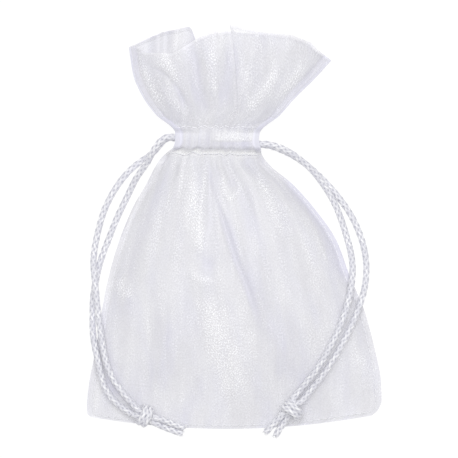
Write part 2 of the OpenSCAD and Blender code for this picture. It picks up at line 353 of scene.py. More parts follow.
def braided_tube(path, radius, sides=28, phase=0.0):
    """Points, faces and attributes of a braided tube round an evenly spaced path."""
    tangents, normals, binormals = frames_along(path)
    run = np.concatenate([[0], np.cumsum(np.linalg.norm(np.diff(path, axis=0), axis=1))])
    angle = np.linspace(0, 2 * math.pi, sides, endpoint=False)
    turn = 2 * math.pi / (BRAID_PITCH * YARNS) * run[:, None]
    a = YARNS * (angle[None, :] + turn + phase)
    b = YARNS * (angle[None, :] - turn + phase)
    over = np.cos(a / 2) * np.cos(b / 2)
    yarn_a = np.sqrt(np.clip(0.5 + 0.5 * np.cos(a), 0, 1)) * (0.78 + 0.22 * over)
    yarn_b = np.sqrt(np.clip(0.5 + 0.5 * np.cos(b), 0, 1)) * (0.78 - 0.22 * over)
    relief = np.maximum(yarn_a, yarn_b)
    r = radius * (0.76 + 0.28 * relief)
    points = (
        path[:, None, :]
        + (r * np.cos(angle))[:, :, None] * normals[:, None, :]
        + (r * np.sin(angle))[:, :, None] * binormals[:, None, :]
    )
    on_a = yarn_a > yarn_b
    across = np.where(on_a, np.sin(a / 2), np.sin(b / 2))
    lap_a, lap_b = np.round(a / (2 * math.pi)), np.round(b / (2 * math.pi))
    cell = lap_a * 12.9 + lap_b * 78.2 + np.where(on_a, 0.0, 31.7)
    lay = np.stack([across, np.repeat(run[:, None], sides, 1), cell], axis=2)
    rows = len(path)
    faces = grid_faces(rows, sides, closed=True)
    points = points.reshape(-1, 3)
    lay = lay.reshape(-1, 3)
    relief = relief.ravel()
    tips = path[0] - tangents[0] * 0.25 * radius, path[-1] + tangents[-1] * 0.25 * radius
    points = np.vstack([points, *tips])
    lay = np.vstack([lay, lay[0], lay[-1]])
    relief = np.concatenate([relief, [0.6, 0.6]])
    faces += end_caps(rows, sides)
    return points, faces, {"lay": lay, "relief": relief}


def join_parts(parts):
    """One set of points, faces and attributes out of several."""
    points, faces, attributes, base = [], [], {}, 0
    for part_points, part_faces, part_attributes in parts:
        points.append(part_points)
        faces += [tuple(v + base for v in face) for face in part_faces]
        for key, values in part_attributes.items():
            attributes.setdefault(key, []).append(values)
        base += len(part_points)
    return np.vstack(points), faces, {key: np.concatenate(values) for key, values in attributes.items()}


LEFT_OUTER = [
    (-20, 27, 2.2), (-24, 23.4, 1.2), (-29.5, 19.2, 1.05), (-33.5, 15.4, 1.05), (-37, 10.4, 1.05),
    (-39.5, 5.4, 1.05), (-41.2, 0, 1.05), (-42.4, -5.5, 1.2), (-42.9, -11, 2.2), (-42.4, -16.5, 3.3),
    (-41.9, -21.5, 3.5), (-41.3, -27, 3.5), (-40.5, -33, 3.9), (-39.6, -38.5, 4.1), (-38, -43.8, 4.5),
    (-35, -49, 4.4), (-31.4, -53.2, 4.3), (-29.2, -55.6, 4.5),
]
LEFT_INNER = [
    (-20, 27, 10.3), (-23.8, 23.8, 9.5), (-26.4, 19.4, 6.8), (-29.6, 15, 4.2), (-32, 10.4, 2.2),
    (-34.4, 5.6, 1.3), (-36.8, 0.2, 1.05), (-38.8, -5, 1.05), (-40.7, -10.2, 1.05), (-42, -15.5, 1.05),
    (-43, -21, 1.05), (-43.2, -27, 1.2), (-43.1, -32, 2.1), (-42.2, -37.5, 3.4), (-40.8, -43.5, 3.8),
    (-39, -49.5, 3.7), (-35, -54.2, 3.8), (-31.2, -56.8, 4.1),
]
RIGHT_OUTER = [
    (9, 24.9, 2.2), (14, 23.6, 1.2), (19.4, 20.8, 1.05), (24.3, 17, 1.05), (28.4, 13, 1.05),
    (32, 8.8, 1.05), (35.4, 3.9, 1.05), (37.9, -1.2, 1.05), (39.6, -6.6, 1.05), (40.3, -12, 1.2),
    (39.9, -17.5, 2.4), (38.4, -23, 4.3), (36, -28.8, 5.4), (33.1, -34.6, 6.9), (30, -40, 7.3),
    (26.7, -45.2, 6.4), (23, -49.8, 5.6), (20.5, -52.9, 5.4),
]
RIGHT_INNER = [
    (9, 24.9, 10.3), (14, 23.8, 9.2), (19, 21, 7), (23.4, 17.4, 4.8), (27, 13, 3.2),
    (29.8, 8.6, 2.2), (32.2, 3.4, 1.3), (33.8, -1.4, 1.05), (35.3, -6.8, 1.4), (36, -12.4, 3.1),
    (35.5, -18, 4.8), (34.3, -23.6, 6), (32.2, -29.4, 7.5), (29.6, -35, 8.1), (26.8, -40.2, 7.9),
    (23.5, -45.1, 6.9), (20.2, -49.3, 5.8), (17.8, -52.2, 5.6),
]
KNOTS = {"left": ((-27, -57.4, 5.4), -22), "right": ((17.6, -55.4, 6.2), 58)}
TAILS = {
    "left": (
        [(-25, -57.6, 5.2), (-21.5, -58.8, 4.2), (-18, -60.2, 3.4), (-15.2, -61.2, 3.2)],
        [(-25.4, -59, 4.4), (-22.2, -60.6, 3.4), (-19, -61.9, 2.9), (-16, -63, 2.5)],
    ),
    "right": (
        [(16.8, -56.6, 5), (15.4, -59, 3.8), (13.9, -61.4, 3.3), (12.6, -63.6, 3)],
        [(15.8, -56, 5.2), (13.6, -58.3, 4.4), (11.4, -60.6, 3.8), (9.5, -62.6, 3.4)],
    ),
}
FRONT_RUN_Z, BACK_RUN_Z, BIGHT_R = 10.3, 2.2, 4.05
# side: (run's y, x where the run leaves the casing, x where the far bend starts, direction of the bend)
RUNS = {"left": (27.0, -18.9, 2.55, 1), "right": (24.9, 7.9, -12.75, -1)}
STRANDS = {
    "left_cord_outer_strand": ("left", LEFT_OUTER),
    "left_cord_inner_strand": ("left", LEFT_INNER),
    "right_cord_outer_strand": ("right", RIGHT_OUTER),
    "right_cord_inner_strand": ("right", RIGHT_INNER),
}


def strand_path(side, route):
    """The free strand's centreline: straight out of the casing, then along the route."""
    y, exit_x, _, turn = RUNS[side]
    lead = [(exit_x + turn * 0.6, y, route[0][2])]
    return spline(lead + [tuple(p) for p in route], 0.15)


def run_path(side):
    y, exit_x, bend_x, turn = RUNS[side]
    middle = (FRONT_RUN_Z + BACK_RUN_Z) / 2
    bend = [
        (bend_x + turn * BIGHT_R * math.sin(a), y, middle + BIGHT_R * math.cos(a))
        for a in np.linspace(0, math.pi, 13)
    ]
    xs = np.linspace(exit_x, bend_x, 12)[:-1]
    return spline([(x, y, FRONT_RUN_Z) for x in xs] + bend + [(x, y, BACK_RUN_Z) for x in xs[::-1]], 0.17)


def knot_parts(side, centre, heading):
    """An overhand knot in the doubled cord: two cords through it, and two turns of them round it."""
    parts = []
    c, s = math.cos(math.radians(heading)), math.sin(math.radians(heading))

    def place(points):
        p = np.asarray(points, dtype=float)
        return np.stack([centre[0] + c * p[:, 0] - s * p[:, 1], centre[1] + s * p[:, 0] + c * p[:, 1],
                         centre[2] + p[:, 2]], axis=1)

    routes = [route for strand_side, route in STRANDS.values() if strand_side == side]
    for k, (route, tail) in enumerate(zip(routes, TAILS[side])):
        inside = place([(0.2, 0.8 - 1.6 * k, 0.2)])[0]
        core = [route[-2], route[-1], inside, tail[0], tail[1]]
        path = spline(core, 0.15)
        path = path[(np.linalg.norm(path - np.array(centre), axis=1) < 4.2)]
        parts.append(braided_tube(path, 0.97, phase=0.4 * k))
        wrap = []
        for q in np.linspace(0, 1, 30):
            a = math.radians(-120 + 480 * q)
            r = 2.5 - 1.1 * abs(2 * q - 1) ** 5
            along = -0.95 + 1.6 * k + 1.5 * (q - 0.5) + 0.55 * math.sin(a + 0.6)
            wrap.append((along, r * math.cos(a), r * math.sin(a) * 0.95))
        parts.append(braided_tube(place(spline(wrap, 0.15)), 0.97, phase=1.1 * k + 0.3))
    return join_parts(parts)


def tail_parts(paths, seed):
    """Two cut ends with a few loosened filaments at each cut."""
    rng = np.random.default_rng(seed)
    parts = []
    for k, points in enumerate(paths):
        path = spline(points, 0.15)
        parts.append(braided_tube(path, 1.0, phase=0.7 * k))
        end = path[-1]
        heading = path[-1] - path[-5]
        heading /= np.linalg.norm(heading)
        across = np.cross(heading, (0, 0, 1))
        up = np.cross(across, heading)
        for _ in range(16):
            a, r = rng.uniform(0, 2 * math.pi), 0.75 * math.sqrt(rng.uniform(0.1, 1))
            root = end - heading * 0.3 + r * (math.cos(a) * across + math.sin(a) * up)
            tip = root + heading * rng.uniform(0.5, 1.1)
            tip = tip + 0.3 * r * (math.cos(a) * across + math.sin(a) * up)
            tip[2] = max(tip[2], 0.3)
            middle = (root + tip) / 2 + rng.uniform(-0.06, 0.06, 3)
            parts.append(thread_tube(spline([root, middle, tip], 0.25), 0.07, 5))
    return join_parts(parts)


def thread_tube(path, radius, sides=6):
    """A thin round tube, which carries the same attributes as a braid."""
    tangents, normals, binormals = frames_along(path)
    run = np.concatenate([[0], np.cumsum(np.linalg.norm(np.diff(path, axis=0), axis=1))])
    angle = np.linspace(0, 2 * math.pi, sides, endpoint=False)
    points = (
        path[:, None, :]
        + radius * np.cos(angle)[None, :, None] * normals[:, None, :]
        + radius * np.sin(angle)[None, :, None] * binormals[:, None, :]
    ).reshape(-1, 3)
    rows = len(path)
    faces = grid_faces(rows, sides, closed=True)
    points = np.vstack([points, path[0], path[-1]])
    faces += end_caps(rows, sides)
    lay = np.stack([np.repeat(run, sides), np.tile(angle, rows), np.zeros(rows * sides)], axis=1)
    lay = np.vstack([lay, lay[0], lay[-1]])
    return points, faces, {"lay": lay, "relief": np.full(len(points), 0.9)}


def piece(name, body, node, parts, material):
    obj = mesh_object(name, *parts[:2], material, parts[2])
    if body:
        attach(obj, body)
    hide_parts(*((node,) if isinstance(node, str) else node))
    return obj


def make_cords():
    for side in ("left", "right"):
        piece(f"{side}_run", f"{side}_draw", f"{side}_cord_in_casing",
              braided_tube(run_path(side), CORD_R), SATIN)
        centre, heading = KNOTS[side]
        knot = piece(f"{side}_overhand_knot", f"{side}_loop", f"{side}_knot",
                     knot_parts(side, centre, heading), SATIN)
        tails = piece(f"{side}_cut_tails", f"{side}_loop", f"{side}_tails",
                      tail_parts(TAILS[side], 5 if side == "left" else 6), SATIN)
        for node, (strand_side, route) in STRANDS.items():
            if strand_side != side:
                continue
            path = strand_path(side, route)
            parts = braided_tube(path, CORD_R)
            obj = piece(node.replace("_cord", "") + "_braid", None, node, parts, SATIN)
            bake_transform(obj)


make_cords()

# ---------------------------------------------------------------- the pouch's surfaces

# One row of the pouch, as in part.scad: left x and y, right x and y, bow along Y, front edge's height,
# back edge's height, top of the front, underside of the back. The casing has three rows to be round.
ROWS = np.array([
    (-44.0, -58.0, 42, -57.6, -3.9, 0.9, 0.9, 1.4, 0.4),
    (-44.8, -57.0, 43.9, -55.9, -4.1, 0.9, 0.9, 1.6, 0.3),
    (-45, -54.8, 45, -53, -4.4, 0.9, 0.9, 2.2, 0),
    (-44.4, -48.5, 44.8, -47.5, -2.5, 1, 1, 4.6, 0),
    (-42.4, -38, 42.9, -37.5, -1, 1.4, 1.4, 9.6, 0),
    (-40.4, -26, 39.8, -26, 0, 2, 2, 13.5, 0),
    (-38.2, -15, 35.2, -15, 0, 2.5, 2.5, 15.6, 0),
    (-34.9, -4, 31, -4, 0, 3, 3, 16.5, 0),
    (-30.8, 6, 24.4, 5.5, 0, 3.6, 3.6, 16.5, 0),
    (-26.6, 13.2, 17.4, 13.2, 0, 4.6, 4.6, 15, 0.2),
    (-23.2, 19.4, 10.8, 18.6, 0, 6.25, 6.25, 12.6, 0.8),
    (-20.6, 22.4, 8.4, 21.8, 0, 8.2, 4.4, 11.3, 1.7),
    (-18.4, 23.8, 8.0, 23.5, 0, 11.45, 1.05, 11.7, 0.8),
    (-17.8, 26.1, 7.4, 25.9, 0, 11.6, 0.9, 12.1, 0.4),
    (-17.8, 28.4, 7.7, 28.4, 0, 11.45, 1.05, 11.7, 0.8),
    (-18.6, 29.8, 8.6, 29.8, 0, 8.2, 4.4, 11.2, 1.7),
    (-23.6, 33.8, 13.4, 33.4, 1, 6.25, 6.25, 12.4, 1.5),
    (-27.8, 39.5, 18.6, 39.2, 3, 5.6, 5.6, 14, 0.7),
    (-30.6, 46, 24.2, 44.8, 6, 5.2, 5.2, 15, 0.3),
    (-32, 54.5, 29.5, 50.8, 9.1, 4.8, 4.8, 15.5, 0.2),
])
STATIONS = (ROWS[:, 1] + ROWS[:, 3]) / 2
WAIST_LOW, WAIST_HIGH, TOP = STATIONS[11], STATIONS[15], STATIONS[-1]
SEAM_W = 2.0
HALF_CLOTH = 0.25
LOWEST_CLOTH, EDGE_GAP = 0.12, 0.12


def smooth_rows(x):
    """Each column of ROWS at the stations x, by monotone cubic interpolation."""
    h = np.diff(STATIONS)[:, None]
    slope = np.diff(ROWS, axis=0) / h
    tangent = np.zeros_like(ROWS)
    product = slope[:-1] * slope[1:]
    total = slope[:-1] + slope[1:]
    tangent[1:-1] = np.where(product > 0, 2 * product / np.where(total == 0, 1, total), 0)
    tangent[0], tangent[-1] = slope[0], slope[-1]
    k = np.clip(np.searchsorted(STATIONS, x, side="right") - 1, 0, len(STATIONS) - 2)
    w = h[k]
    t = ((x - STATIONS[k]) / w[:, 0])[:, None]
    return (
        (2 * t**3 - 3 * t**2 + 1) * ROWS[k] + (t**3 - 2 * t**2 + t) * w * tangent[k]
        + (3 * t**2 - 2 * t**3) * ROWS[k + 1] + (t**3 - t**2) * w * tangent[k + 1]
    )


def smoothstep(x, low, high):
    t = np.clip((x - low) / (high - low), 0, 1)
    return t * t * (3 - 2 * t)


def gathers(u, y, count, seed, sharp=1.0):
    """Folds that run along the pouch and wander a little, from -1 to 1."""
    rng = np.random.default_rng(seed)
    warp = u.copy()
    for f in (1.3, 2.7, 4.1):
        turn = f * 3.1 * u + rng.uniform(0, 6.28) + 0.045 * y * rng.uniform(-1, 1)
        warp = warp + 0.5 / (count * f) * np.sin(turn)
    wave = np.zeros_like(u + y)
    for _ in range(3):
        f = count * rng.uniform(0.75, 1.3)
        height = rng.uniform(0.6, 1.0)
        turn = math.pi * f * warp + rng.uniform(0, 6.28) + 0.02 * y * rng.uniform(-1, 1)
        wave = wave + height * np.cos(turn)
    wave = wave / 2.2
    return np.sign(wave) * np.abs(np.clip(wave, -1, 1)) ** sharp


def crease(x, y, points, width, taper=0.25):
    """A soft ridge of height 1 along a line of (x, y) points. Width may differ at its two ends."""
    w0, w1 = width if isinstance(width, tuple) else (width, width)
    line = spline(points, 0.6)
    best = np.full(x.shape, 1e9)
    along = np.zeros(x.shape)
    total = len(line) - 1
    for k, (px, py) in enumerate(line):
        d = (x - px) ** 2 + (y - py) ** 2
        near = d < best
        best[near] = d[near]
        along[near] = k / total
    w = w0 + (w1 - w0) * along
    ends = smoothstep(along, 0, taper) * (1 - smoothstep(along, 1 - taper, 1))
    return np.exp(-best / (2 * w**2)) * (0.15 + 0.85 * ends)


# (points, widths, height, painted light): the larger folds of the front between the neck and the bottom;
# the last column is painted highlight above 0 and painted shade below it, along each fold
FRONT_FOLDS = [
    ([(-8.2, 22), (-8.8, 14), (-10.1, 5), (-10.6, -3), (-9.4, -12)], (0.55, 1.3), 0.9, 0.95),
    ([(-11, 20), (-12.6, 13), (-13, 5), (-12.2, -4)], (1.5, 2.6), 0.25, 0.55),
    ([(-7.2, 20), (-7.6, 11), (-6.6, 3), (-7.4, -4)], (0.7, 1.5), -0.6, -0.55),
    ([(-8, -19), (-6, -28), (-3, -38), (1.7, -54)], (2.8, 3.0), 0.45, 1.3),
    ([(2, -20), (3, -30), (4, -44)], (1.4, 1.8), 0.2, 0.4),
    ([(-6.4, 11), (-4, 3.8), (0.8, -10.5), (5.1, -21.4), (8, -33)], (0.6, 0.9), -1.1, -0.6),
    ([(-4.6, 9), (-1.8, 1), (2.9, -12), (6.6, -24), (9, -33)], (0.9, 1.4), 0.5, -0.55),
    ([(-2.8, 17), (-3.6, 13), (-1.6, 8.4), (1, 10.5), (1.4, 14)], (0.5, 0.5), 0.4, 0.7),
    ([(-1.2, 14.5), (-1, 11.5)], (0.9, 0.9), -0.3, -0.5),
    ([(6, 19), (9.5, 11), (13, 2), (16, -5)], (0.7, 1.8), 0.6, 0.75),
    ([(3, 19), (5.2, 8), (8, -5), (12, -20)], (0.8, 1.6), -0.45, -0.4),
    ([(15, 15), (21.5, 9.5), (27, 2), (31, -6)], (0.9, 1.3), -0.4, -0.65),
    ([(20.6, 6.5), (24, -0.5), (28.6, -12.6)], (0.35, 0.35), 0.22, 0.7),
    ([(12.5, 17), (20, 9.4), (26.6, 1), (31.4, -9), (33.4, -20)], (1.3, 2.2), -0.15, -1.0),
    ([(36, -38), (40, -44), (41.5, -50)], (1.6, 1.6), 0.15, 0.45),
    ([(-39.5, -38), (-38, -46), (-34, -53)], (1.6, 1.6), -0.15, -0.6),
    ([(-14, 20), (-19, 10), (-24, -4), (-28, -18)], (0.8, 1.8), 0.45, 0.35),
    ([(-17.5, 19), (-24, 9), (-30, -8), (-33, -22)], (0.8, 1.8), -0.45, -0.4),
    ([(-35.6, -15), (-34, -18.5), (-31, -22)], (1.5, 1.5), 0.3, 0.9),
    ([(-20, 2), (-22, -14), (-22, -32), (-20, -48)], (1.6, 2.4), 0.3, -0.3),
    ([(-16, 0), (-17.5, -14), (-17, -30)], (1.2, 1.8), 0.3, 0.3),
    ([(17, -20), (16, -36), (14, -50)], (1.6, 2.4), -0.3, -0.4),
    ([(20, 0), (24, -12), (26, -22)], (1.4, 1.8), 0.2, 0.4),
    ([(-13, -7), (-9, -10), (-8, -14)], (1.3, 1.3), -0.3, -0.5),
    ([(-14, -12), (-10.5, -16), (-5.5, -16.5)], (0.9, 0.9), 0.3, 0.5),
    ([(-16, -30), (-13, -42), (-9, -54)], (1.6, 1.8), 0.2, -0.25),
]
# The frill's folds, in the same columns; the last is painted light along each fold, highlight above 0 and
# shade below it.
FRILL_FOLDS = [
    ([(-26.5, 49), (-20.4, 45.4), (-15.8, 38.6), (-14.4, 33.6)], (0.5, 0.6), -0.8, -0.7),
    ([(-28.5, 51), (-26.5, 43), (-21, 35.5)], (2.8, 2.0), 0.1, 0.6),
    ([(-23, 51.5), (-20, 48), (-18, 42)], (1.5, 1.2), 0.5, 0.8),
    ([(-22, 43), (-18.5, 38), (-15, 33)], (1.2, 0.8), 0.3, 0.3),
    ([(-13.2, 56.5), (-11.4, 46), (-9.6, 36), (-5.5, 30.5)], (1.3, 1.5), -0.5, -0.85),
    ([(-6.8, 54), (-6.6, 46), (-5.4, 38)], (1.5, 1.1), 0.5, 0.45),
    ([(-1.9, 57.5), (-1.6, 50), (-2.4, 42), (-3.6, 34)], (0.8, 2.0), -0.3, -0.8),
    ([(14.5, 48), (9, 41), (4, 33.5)], (1.2, 0.9), 0.5, 0.95),
    ([(22, 50), (17.5, 44), (11.5, 38)], (1.3, 1.1), 0.4, 0.7),
    ([(6, 55), (4.5, 46), (2.4, 36)], (1.8, 1.0), 0.3, 0.2),
    ([(12, 37), (8.4, 33), (6.6, 31)], (1.2, 0.9), -0.4, -0.6),
    ([(25, 50), (19, 42.5), (13, 37.5)], (0.7, 0.7), -0.3, -0.4),
]


def cloth_surface(columns, rows, front):
    """Grids of x, y and z for the front or the back, with the grid's u and station s."""
    u = np.linspace(-1, 1, columns)[None, :].repeat(rows, 0)
    s = np.linspace(STATIONS[0], TOP, rows)
    r = smooth_rows(s)
    q = np.clip((s - WAIST_HIGH) / (TOP - WAIST_HIGH), 0, 1)[:, None]
    half = (r[:, 2] - r[:, 0]) / 2
    seam_u = 1 - SEAM_W / half
    pleat_z = 0
    x_u = u
    top_y = None
    if front:
        x_u, pleat_z, top_y = front_pleat(u, q)
    x = r[:, [0]] + (r[:, [2]] - r[:, [0]]) * (x_u + 1) / 2
    y = r[:, [1]] + (r[:, [3]] - r[:, [1]]) * (x_u + 1) / 2 + r[:, [4]] * (1 - x_u**2)
    x_top = ROWS[-1, 0] + (ROWS[-1, 2] - ROWS[-1, 0]) * (x_u + 1) / 2
    cad_top = ROWS[-1, 1] + (ROWS[-1, 3] - ROWS[-1, 1]) * (x_u + 1) / 2 + ROWS[-1, 4] * (1 - x_u**2)
    if top_y is None:
        top_y = np.interp(x_top, *zip(*BACK_TOP))
    v = np.minimum(np.abs(x_u) / seam_u[:, None], 1)
    crown = 1 - v**2.6
    if front:
        low, high = r[:, [5]] + EDGE_GAP, r[:, [7]] - HALF_CLOTH
        z = low + np.maximum(high - low, 0) * crown
    else:
        low, high = r[:, [8]] + HALF_CLOTH, r[:, [6]] - EDGE_GAP
        z = high - np.maximum(high - low, 0) * crown
    waist = WAIST_HIGH
    top_y = CAMERA_CENTRE[1] + (top_y - CAMERA_CENTRE[1]) * (1 - z / CAMERA_HEIGHT)
    y = np.where(q > 0, waist + (y - waist) * (1 + q**2 * ((top_y - waist) / (cad_top - waist) - 1)), y)
    return x, y, z + pleat_z, u, s[:, None].repeat(columns, 1), crown, q


# (x, y) along the frill's top edges. The front has a left and a right part, which overlap at its pleat.
FRONT_TOP_LEFT = [(-32.2, 54.4), (-30.5, 55.2), (-28.5, 54.6), (-27.6, 53.2), (-18.6, 53), (-16.5, 54),
                  (-11.8, 57.2), (-6.2, 59.9), (-1.9, 59.9), (4, 59.4)]
FRONT_TOP_RIGHT = [(-6, 61.7), (-1, 61.8), (8.1, 59.4), (16.9, 58.7), (23, 56.4), (25, 54.3), (29.6, 50.7)]
BACK_TOP = [(-32, 54.9), (-22.3, 59.3), (-13.8, 61.1), (-13.0, 60.4), (-11.6, 56.6), (-7, 58.7), (-1, 59.5),
            (8, 58.7), (17, 58.0), (23, 55.6), (25, 53.5), (29.6, 50.7)]


def front_pleat(u, q):
    """The knife pleat where the right lobe of the frill lies over the middle lobe."""
    a, b = 0.10, 0.17
    fold_u = 0.40 - 0.38 * q
    w = 0.012 + 0.022 * q
    strength = smoothstep(q, 0.02, 0.22)
    left = -1 + (u + 1) / (a + 1) * (fold_u + w + 1)
    back = fold_u + w - (u - a) / (b - a) * (2 * w)
    right = fold_u - w + (u - b) / (1 - b) * (1 - fold_u + w)
    folded = np.where(u <= a, left, np.where(u >= b, right, back))
    kernel = np.array([1, 2, 3, 2, 1]) / 9
    padded = np.pad(folded, ((0, 0), (2, 2)), mode="edge")
    folded = sum(kernel[k] * padded[:, k : k + folded.shape[1]] for k in range(5))
    folded[:, 0], folded[:, -1] = -1, 1
    x_u = u + (folded - u) * strength
    left_level, right_level = -0.35 * np.exp((u - a) / 0.16), 0.4 * np.exp((b - u) / 0.25)
    back_level = -0.35 + (u - a) / (b - a) * 0.75
    level = np.where(u <= a, left_level, np.where(u >= b, right_level, back_level))
    x_top = ROWS[-1, 0] + (ROWS[-1, 2] - ROWS[-1, 0]) * (x_u + 1) / 2
    left_y = np.interp(x_top, *zip(*FRONT_TOP_LEFT))
    right_y = np.interp(x_top, *zip(*FRONT_TOP_RIGHT))
    share = smoothstep(u, a, b)
    return x_u, level * strength, left_y * (1 - share) + right_y * share


def below_cords(x, y, z):
    """Keeps cloth under the cords that lie on it, with a soft hollow beside them."""
    for _, route in STRANDS.values():
        for px, py, pz in spline(route, 0.8)[8:]:
            d = np.sqrt((x - px) ** 2 + (y - py) ** 2)
            limit = pz - 1.18 + np.maximum(d - 1.0, 0) ** 1.3 * 1.1
            near = d < 5
            z[near] = np.minimum(z[near], limit[near])
    for side, (centre, _) in KNOTS.items():
        d = np.sqrt((x - centre[0]) ** 2 + (y - centre[1]) ** 2)
        z = np.minimum(z, centre[2] - 3.35 + np.maximum(d - 1.5, 0) * 0.8)
        for points in TAILS[side]:
            for px, py, pz in spline(points, 0.8):
                d = np.sqrt((x - px) ** 2 + (y - py) ** 2)
                z = np.minimum(z, pz - 1.2 + np.maximum(d - 1.0, 0) * 0.9)
    return z


def puckers(u, s, y, z, soft, outward):
    """The cloth drawn in along the two rows of casing stitches, which wander a little."""
    for seed, waist, ruffle in ((31, WAIST_LOW, 0.14), (41, WAIST_HIGH, 0.08)):
        d = s - waist
        level = np.zeros_like(s)
        y = y + 0.8 * gathers(u, level, 6, seed) * np.exp(-((d / 2.6) ** 2)) * soft
        z = z - outward * (0.16 + 0.12 * gathers(u, level, 17, seed + 1)) * np.exp(-((d / 0.8) ** 2)) * soft
        z = z + outward * ruffle * gathers(u, level, 13, seed + 2, 0.7) * np.exp(-((d / 2.8) ** 2)) * soft
    return y, z


def casing_arch(s):
    """0 outside the casing and at its two rows of stitches, and 1 midway between them."""
    share = np.clip((s - WAIST_LOW) / (WAIST_HIGH - WAIST_LOW), 0, 1)
    return ((s > WAIST_LOW) & (s < WAIST_HIGH)) * np.sin(math.pi * share)


def front_sheet(columns, rows):
    x, y, z, u, s, crown, q = cloth_surface(columns, rows, True)
    shimmer = np.zeros_like(z)
    soft = np.sqrt(np.clip(crown, 0, 1))
    # Each fold lifts or sinks the cloth and adds its painted highlight or painted shade.
    for points, width, height, fold_painted_light in FRONT_FOLDS:
        f = crease(x, y, points, width) * (s < WAIST_LOW + 1)
        z = z + f * height * soft
        shimmer = shimmer + f * fold_painted_light
    frill = smoothstep(q, 0.04, 0.3)
    for points, width, height, fold_painted_light in FRILL_FOLDS:
        f = crease(x, y, points, width) * frill
        z = z + f * height * soft
        shimmer = shimmer + f * fold_painted_light
    body = (s < WAIST_LOW) * 1.0
    depth = WAIST_LOW - s
    near = body * smoothstep(depth, 0.3, 4) * np.exp(-np.maximum(depth, 0) / 16)
    z = z + soft * near * (0.65 * gathers(u, s, 9, 3, 0.8) - 0.25)
    z = z + soft * near * np.exp(-depth / 6) * 0.2 * gathers(u, s, 19, 4)
    z = z + soft * body * smoothstep(depth, 6, 30) * 0.25 * gathers(u, s, 5, 5)
    over = (q > 0) * 1.0
    ripples = 0.45 * gathers(u, s, 7, 6) + 0.1 * np.exp(-q * 5) * gathers(u, s, 11, 7)
    z = z + soft * over * smoothstep(q, 0.02, 0.2) * ripples
    casing = casing_arch(s)
    z = z + casing * soft * 0.1 * (gathers(u, s, 17, 8, 0.7) - 1)
    y, z = puckers(u, s, y, z, soft, 1)
    # Painted light on the casing: a painted highlight where the cord lies inside it, painted shade over the
    # rest, and painted highlight on the ridges of its gathers.
    cord_band_highlight = smoothstep(u, -0.15, 0.0) * (1 - smoothstep(u, 0.8, 0.95)) * smoothstep(s, 25.2, 26.4)
    shimmer = shimmer + casing * (1.2 * cord_band_highlight - 0.5 + 0.4 * np.maximum(gathers(u, s, 11, 9), 0))
    # Painted shade along the side rims above the waist, going grey, and a little painted highlight over the
    # frill.
    rim = 1 - smoothstep(np.minimum(x - x[:, [0]], x[:, [-1]] - x), 1.0, 2.8)
    rim = rim * smoothstep(s, WAIST_LOW, WAIST_LOW + 1.5)
    shimmer = np.clip(shimmer + 0.12 * over, -1, 1.2) * (1 - rim) - 1.15 * rim
    return x, y, z, shimmer, u, s, q * np.ones_like(x)


def back_sheet(columns, rows):
    x, y, z, u, s, crown, q = cloth_surface(columns, rows, False)
    soft = np.sqrt(np.clip(crown, 0, 1))
    depth = np.maximum(WAIST_LOW - s, 0)
    body = (s < WAIST_LOW) * 1.0
    near = body * soft * smoothstep(depth, 0.3, 4)
    z = z + near * np.exp(-depth / 20) * 0.85 * (gathers(u, s, 11, 13) + 1)
    z = z + near * np.exp(-depth / 10) * 0.62 * (gathers(u, s, 21, 18) + 1)
    z = z + body * soft * smoothstep(depth, 8, 30) * 0.18 * (gathers(u, s, 6, 14) + 1)
    z = z + (q > 0) * soft * smoothstep(q, 0.02, 0.3) * 0.62 * (gathers(u, s, 10, 15) + 1)
    pinch = body * smoothstep(depth, 0.3, 3) * np.exp(-depth / 7)
    pinch = pinch + (q > 0) * smoothstep(q, 0.02, 0.12) * np.exp(-q * 5)
    z = z + soft * pinch * 0.45 * (gathers(u, s, 27, 19) + 1)
    casing = casing_arch(s)
    z = z + casing * soft * 0.12 * (1 - gathers(u, s, 24, 16))
    y, z = puckers(u, s, y, z, soft, -1)
    # Painted light on the back: painted highlight in the casing, streaks of painted highlight and shade,
    # and painted shade over the frill.
    shimmer = 0.35 * casing + 0.25 * gathers(u, s, 6, 17) - 0.25 * (q > 0)
    return x, y, np.maximum(z, LOWEST_CLOTH), np.clip(shimmer, -0.3, 1), u, s, q * np.ones_like(x)


def flat_place(x, y, z):
    """The weave's coordinates: the lengths across and along the cloth, from its middle column."""
    p = np.stack([x, y, z], axis=2)
    across = np.zeros(x.shape)
    across[:, 1:] = np.cumsum(np.linalg.norm(np.diff(p, axis=1), axis=2), axis=1)
    middle = x.shape[1] // 2
    across = (across - across[:, [middle]])
    full = 90.0 / np.maximum(across[:, [-1]] - across[:, [0]], 1)
    along = np.zeros(x.shape)
    along[1:] = np.cumsum(np.linalg.norm(np.diff(p, axis=0), axis=2), axis=0)
    return np.stack([across * (0.45 + 0.55 * full), along, np.zeros(x.shape)], axis=2).reshape(-1, 3)


EDGE_DENSITY, CASING_DENSITY, FRILL_THINNING, STEEP_SHADE_LIFT = 0.34, 0.25, 0.02, 0.6


def density_of(grids):
    """How much the cloth's density differs from its material's: more in the casing and along the edges,
    less in the frill, and less where the cloth stands steep below the casing, so that the glowing floor
    shows through and lightens the shade there, which is painted light."""
    x, y, s = grids[0], grids[1], grids[5]
    frill = smoothstep(s, WAIST_HIGH, WAIST_HIGH + 2)
    casing = smoothstep(s, WAIST_LOW, WAIST_LOW + 1) * (1 - smoothstep(s, WAIST_HIGH - 1, WAIST_HIGH + 0.5))
    side = np.minimum(np.abs(x - x[:, [0]]), np.abs(x - x[:, [-1]]))
    end = np.minimum(np.abs(y - y[[0], :]), np.abs(y - y[[-1], :]))
    edge = np.maximum(1 - smoothstep(side, 1.2, 2.4), 1 - smoothstep(end, 0.5, 0.9))
    steep = np.exp(-(((s - WAIST_LOW - 0.6) / 1.3) ** 2))
    return EDGE_DENSITY * edge + CASING_DENSITY * casing - FRILL_THINNING * frill - STEEP_SHADE_LIFT * steep


